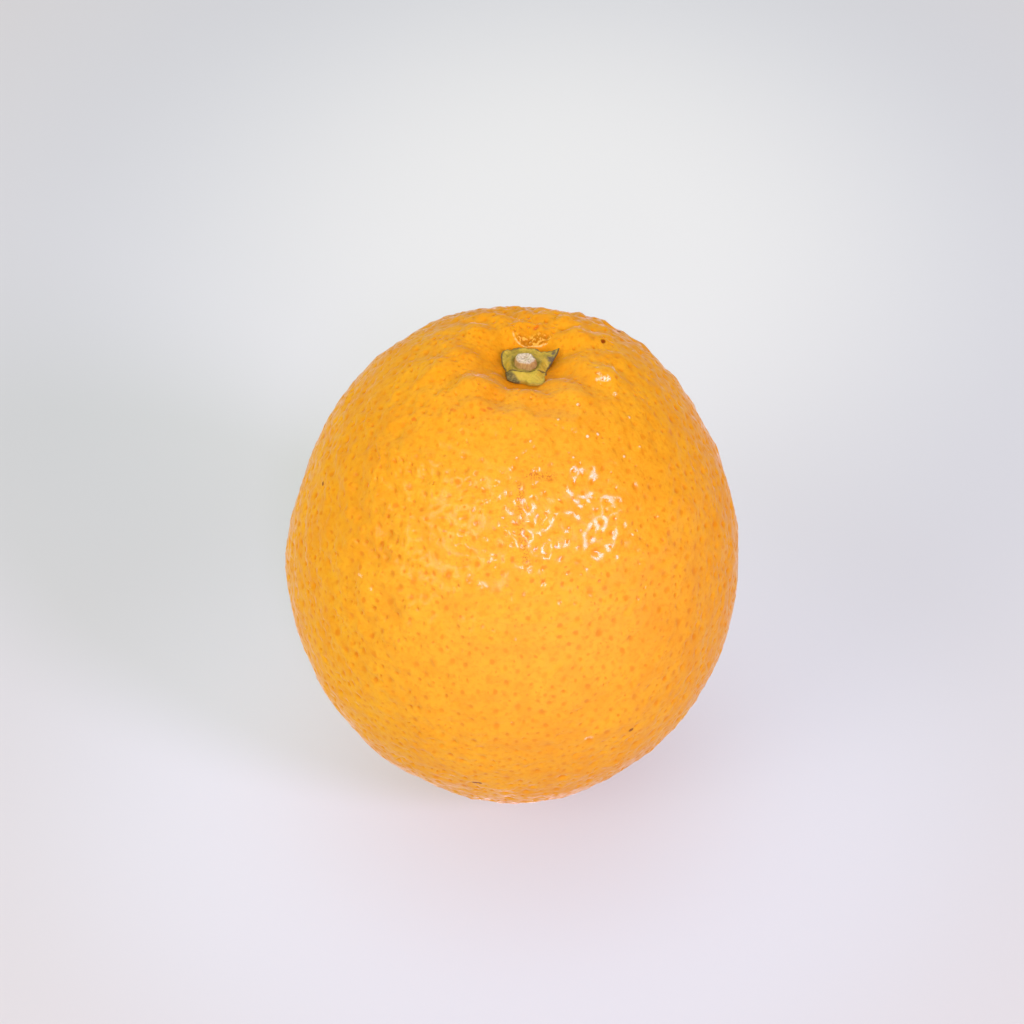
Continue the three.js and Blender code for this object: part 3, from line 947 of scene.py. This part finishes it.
def calyx_material(calyx):
    """Dull yellow-green flesh, browned and dried along its edges."""
    graph = Graph(bpy.data.materials.new("calyx_flesh"))
    out, seam, lobe, collar, withered = graph.values(("out", "seam", "lobe", "collar", "withered"))
    blotch = graph.noise(1.6 * MM, detail=3.0)
    grain = graph.noise(0.35 * MM)
    ragged = out + graph.noise(0.9 * MM) * 0.16 - 0.08
    flat = graph.scaled(1, 1, 0)
    crumbly = graph.mix(CALYX_TINTS["withered"], CALYX_TINTS["crumbled"], grain.ramp(0.35, 0.6))
    colour = graph.layered(calyx.green, dict(CALYX_TINTS, withered=crumbly), dict(
        blotches=blotch.ramp(0.36, 0.66),
        grainy=grain.ramp(0.52, 0.75) * 0.5,
        lobe=lobe * 0.8,
        collar=collar * 0.7,
        withered=withered * 0.85,
        seam=seam.ramp(0.35, 0.9) * 0.8,
        dried=ragged.ramp(0.88, 0.99) * (1 - lobe * 0.6) * 0.85))
    for x, y, size in CALYX_SPOTS:
        away = graph.near((STEM[0] + x * MM, STEM[1] + y * MM, 0), flat) + grain * 0.8 * MM
        spot = away.ramp((size + 0.6) * MM, (size + 0.1) * MM)
        colour = graph.mix(colour, CALYX_TINTS["spots"], spot * 0.85)
    return graph.surface({
        "Base Color": colour, "Roughness": 0.52 + grain * 0.2,
        "Normal": graph.bump(grain + blotch * 0.6, 0.10 * MM), "Coat Weight": 0.0,
        "Subsurface Weight": 0.10, "Subsurface Radius": (0.6, 0.7, 0.2), "Subsurface Scale": 0.8 * MM})


def stub_rows(radius, foot, top):
    """Up the side, over the broken edge and over the cut: size, height and share of the cut's roughness."""
    angles = np.linspace(STUB_ROWS["bevel_from"], math.pi / 2, STUB_ROWS["bevel"])
    shares = np.linspace(STUB_ROWS["rough_from"], 1, STUB_ROWS["bevel"])
    sizes = np.linspace(STUB_ROWS["cut_from"], STUB_ROWS["cut_to"], STUB_ROWS["cut"])
    return [
        *((1.0, z, 0.0) for z in np.linspace(foot - STUB_SUNK, top - STUB_BEVEL, STUB_ROWS["side"])),
        *((1 - STUB_BEVEL / radius * (1 - math.cos(angle)), top - STUB_BEVEL * (1 - math.sin(angle)), share)
          for angle, share in zip(angles, shares)),
        *((size, top, 1.0) for size in sizes)]


def stub_mesh(stub, foot):
    """A short post of wood: a wrinkled side, a broken edge and a rough, slightly slanted cut."""
    around = circle(STUB_SPOKES)
    outline = stub.radius * (1 + waver(STUB_WAVER, around))
    top = foot + stub.height
    rows = stub_rows(stub.radius, foot, top)
    places = []
    for size, z, share in rows:
        x, y = (outline * size * wide * side for wide, side in zip(STUB_OVAL, around[:, :2].T))
        rough = waver(STUB_ROUGH, columns(x, y, np.full(STUB_SPOKES, z * 0.6)))
        above = ease(z, foot, top)
        places.append(columns(
            x * (1 - STUB_NARROWING[0] * above) + STEM[0],
            y * (1 - STUB_NARROWING[1] * above) + STEM[1] + STUB_SHIFT,
            z + STUB_SLANT * above * y + share * rough))
    cap = np.repeat([share for _, _, share in rows], STUB_SPOKES)
    faces = tube_faces(len(rows), STUB_SPOKES, upward=True)
    return build("stub", np.concatenate(places), faces, dict(cap=cap))


def stub_material(stub):
    """Pale cut wood with rings and fibres, and a tan side with streaks along it."""
    graph = Graph(bpy.data.materials.new("cut_wood"))
    cap, = graph.values(("cap",))
    grain = graph.noise(0.30 * MM, detail=3.0)
    fibres = graph.noise(0.25 * MM, place=graph.scaled(1, 1, 0.15))
    pith = graph.near((*STEM, 0), graph.scaled(1, 1, 0)).ramp(0.45 * MM, 0.15 * MM)
    fibrous = grain.ramp(0.45, 0.7) * 0.75
    cut = graph.layered(stub.cut_colour, STUB_TINTS, dict(fibres=fibrous, pith=pith * 0.5))
    side = graph.mix(stub.bark_colour, STUB_TINTS["streaks"], fibres.ramp(0.42, 0.66))
    return graph.surface({
        "Base Color": graph.mix(side, cut, cap.ramp(0.2, 0.8)), "Roughness": 0.75 + grain * 0.15,
        "Normal": graph.bump(grain + fibres, 0.10 * MM)})


# ---- stage

KEY_COLOUR = (0.82, 0.64, 1)
SIDE_COLOUR = (1, 0.98, 1)
# Soft lights: turn and rise of the place of each, its distance and size in metres, and its power in watts
SOFTBOXES = dict(
    key=(318, 29, 0.9, 0.26, 5.2, KEY_COLOUR),
    near=(274, 37, 0.9, 0.14, 2.35, KEY_COLOUR),
    left_core=(226, 27, 0.94, 0.40, 1.42, SIDE_COLOUR),
    left=(226, 27, 0.95, 0.70, 1.62, SIDE_COLOUR),
    left_rim=(226, 27, 0.96, 1.05, 1.22, SIDE_COLOUR))
FRONT = 270
FLOOR_RADIUS = 3.0
FLOOR_SIDES = 96
# The floor's glow is a painted pool of light, brightest behind the fruit: the middle of that patch, and how
# much narrower it is than deep
PAINTED_LIGHT_POOL = (0.016, 0.16, 0.0)
PATCH_SQUEEZE = 1.35
# The middle of a paler, bluer patch of painted light on the floor under the fruit
PAINTED_LIGHT_UNDER_FRUIT = (0.0, -0.01, 0.0)
# Floor colours near the middle and further out, the paler painted light under the fruit, and the dimmer glow
# away from the painted pool of light
FLOOR_TINTS = dict(inner="A6ADAC", outer="ABAAA4", under="B7C1C4", glow="D0D0D0")
# Grey of the surround in front of the fruit and behind it
SURROUND = ((0.38, 0.38, 0.38), (1.1, 1.1, 1.1))


class ORANGE_OT_fruit(Operator):
    """Grow the peel"""

    bl_idname = "orange.fruit"
    bl_label = "Fruit"

    def execute(self, context):
        fruit = context.scene.orange_fruit
        dress(peel_mesh(fruit), "peel", "fruit", peel_material(fruit))
        return {"FINISHED"}


class ORANGE_OT_calyx(Operator):
    """Set the calyx on the peel"""

    bl_idname = "orange.calyx"
    bl_label = "Calyx"

    def execute(self, context):
        scene = context.scene
        mesh = calyx_mesh(scene.orange_calyx, scene.orange_stub, Skin(scene.orange_fruit))
        dress(mesh, "sepals", "calyx", calyx_material(scene.orange_calyx))
        return {"FINISHED"}


class ORANGE_OT_stub(Operator):
    """Cut the stub of stem"""

    bl_idname = "orange.stub"
    bl_label = "Stub of stem"

    def execute(self, context):
        scene = context.scene
        skin = Skin(scene.orange_fruit)
        foot = float(skin.height([STEM[0]], [STEM[1]])[0]) + scene.orange_calyx.collar
        mesh = stub_mesh(scene.orange_stub, foot)
        dress(mesh, "stub", "stem_stub", stub_material(scene.orange_stub))
        return {"FINISHED"}


class ORANGE_OT_stage(Operator):
    """Lay the floor, hang the lights and place the camera"""

    bl_idname = "orange.stage"
    bl_label = "Stage"

    def execute(self, context):
        scene = context.scene
        stage = scene.orange_stage
        middle = Vector((0, 0, Skin(scene.orange_fruit).middle))
        lay_floor(stage)
        hang_lights(middle)
        scene.world = pale_surround(stage)
        scene.camera = place_camera(stage, middle)
        scene.view_settings.view_transform = "Standard"
        return {"FINISHED"}


def lay_floor(stage):
    """A round, pale, matt floor that glows: a painted pool of light, brightest just behind the fruit, and a
    paler, bluer patch of painted light under the fruit.
    """
    mesh = bpy.data.meshes.new("floor")
    mesh.from_pydata((circle(FLOOR_SIDES) * FLOOR_RADIUS).tolist(), [], [tuple(range(FLOOR_SIDES))])
    graph = Graph(bpy.data.materials.new("pale_ground_painted_light"))
    # Distance from the painted pool of light; the floor's glow is painted light
    away = graph.near(PAINTED_LIGHT_POOL, graph.scaled(PATCH_SQUEEZE, 1, 1))
    ground = graph.layered(FLOOR_TINTS["inner"], FLOOR_TINTS, dict(
        outer=away.ramp(0.1, 0.3), under=graph.near(PAINTED_LIGHT_UNDER_FRUIT).ramp(0.10, 0.04) * 0.7))
    mesh.materials.append(graph.surface({
        "Base Color": ground, "Roughness": 0.6, "Specular IOR Level": 0.2, "Emission Strength": 0.46,
        "Emission Color": graph.mix(stage.floor_colour, FLOOR_TINTS["glow"], away.ramp(0.03, 0.17))}))
    add_object("floor", mesh)


def hang_lights(middle):
    """Round softboxes that face the middle of the fruit."""
    for name, (turn, rise, distance, size, power, colour) in SOFTBOXES.items():
        light = bpy.data.lights.new(name, "AREA")
        light.shape = "DISK"
        light.size = size
        light.color = colour
        light.energy = power
        lamp = add_object(name, light)
        out = Vector(direction(90 - rise, turn))
        lamp.location = middle + out * distance
        lamp.rotation_euler = (-out).to_track_quat("-Z", "Y").to_euler()
        lamp.visible_camera = False


def pale_surround(stage):
    """A grey world, brighter behind the fruit and above it, and darker on its right."""
    graph = Graph(bpy.data.worlds.new("surround"))
    heading = graph.add("ShaderNodeTexCoord", output="Generated")
    axes = ((1, 0, 0), (0, 1, 0), (0, 0, 1))
    rightward, backward, upward = (
        graph.vector("DOT_PRODUCT", heading, axis, output="Value") for axis in axes)
    shade = graph.mix(*SURROUND, backward.ramp(-0.6, 0.8))
    strength = (1 - rightward.ramp(0.1, 0.95) * 0.80) * (1 + upward.ramp(0.2, 1.0) * 0.4) * stage.light
    glow = graph.add("ShaderNodeBackground", inputs={"Color": shade, "Strength": strength})
    graph.add("ShaderNodeOutputWorld", inputs={"Surface": glow})
    return graph.owner


def place_camera(stage, middle):
    """A camera in front of the fruit and above it, aimed a little over its middle."""
    data = bpy.data.cameras.new("camera")
    data.lens = stage.lens
    camera = add_object("camera", data)
    elevation = math.degrees(stage.elevation)
    back = Vector(direction(90 - elevation, FRONT))
    up = Vector(direction(-elevation, FRONT))
    camera.location = middle + back * stage.distance
    aim = -back + up * math.tan(stage.aim_up) - Vector((math.tan(stage.aim_left), 0, 0))
    camera.rotation_euler = aim.to_track_quat("-Z", "Y").to_euler()
    return camera


# ---- add-on

OPERATORS = (ORANGE_OT_fruit, ORANGE_OT_calyx, ORANGE_OT_stub, ORANGE_OT_stage)
GROUPS = dict(
    orange_fruit=FruitSettings, orange_calyx=CalyxSettings,
    orange_stub=StubSettings, orange_stage=StageSettings)


class ORANGE_PT_panel(Panel):
    """Sizes, colours and buttons for the orange"""

    bl_label = "Orange"
    bl_idname = "ORANGE_PT_panel"
    bl_space_type = "VIEW_3D"
    bl_region_type = "UI"
    bl_category = "Orange"

    def draw(self, context):
        for operator, (key, group) in zip(OPERATORS, GROUPS.items()):
            box = self.layout.box()
            box.operator(operator.bl_idname)
            for name in group.__annotations__:
                box.prop(getattr(context.scene, key), name)


def register():
    """Adds the classes and the settings to Blender."""
    for kind in (*GROUPS.values(), *OPERATORS, ORANGE_PT_panel):
        bpy.utils.register_class(kind)
    for key, group in GROUPS.items():
        setattr(bpy.types.Scene, key, PointerProperty(type=group))


def unregister():
    """Takes them away again."""
    for key in GROUPS:
        delattr(bpy.types.Scene, key)
    for kind in (ORANGE_PT_panel, *reversed(OPERATORS), *reversed(GROUPS.values())):
        bpy.utils.unregister_class(kind)


def main():
    """Builds the orange and its stage."""
    register()
    bpy.ops.orange.fruit()
    bpy.ops.orange.calyx()
    bpy.ops.orange.stub()
    bpy.ops.orange.stage()
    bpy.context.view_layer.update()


if __name__ == "__main__":
    main()
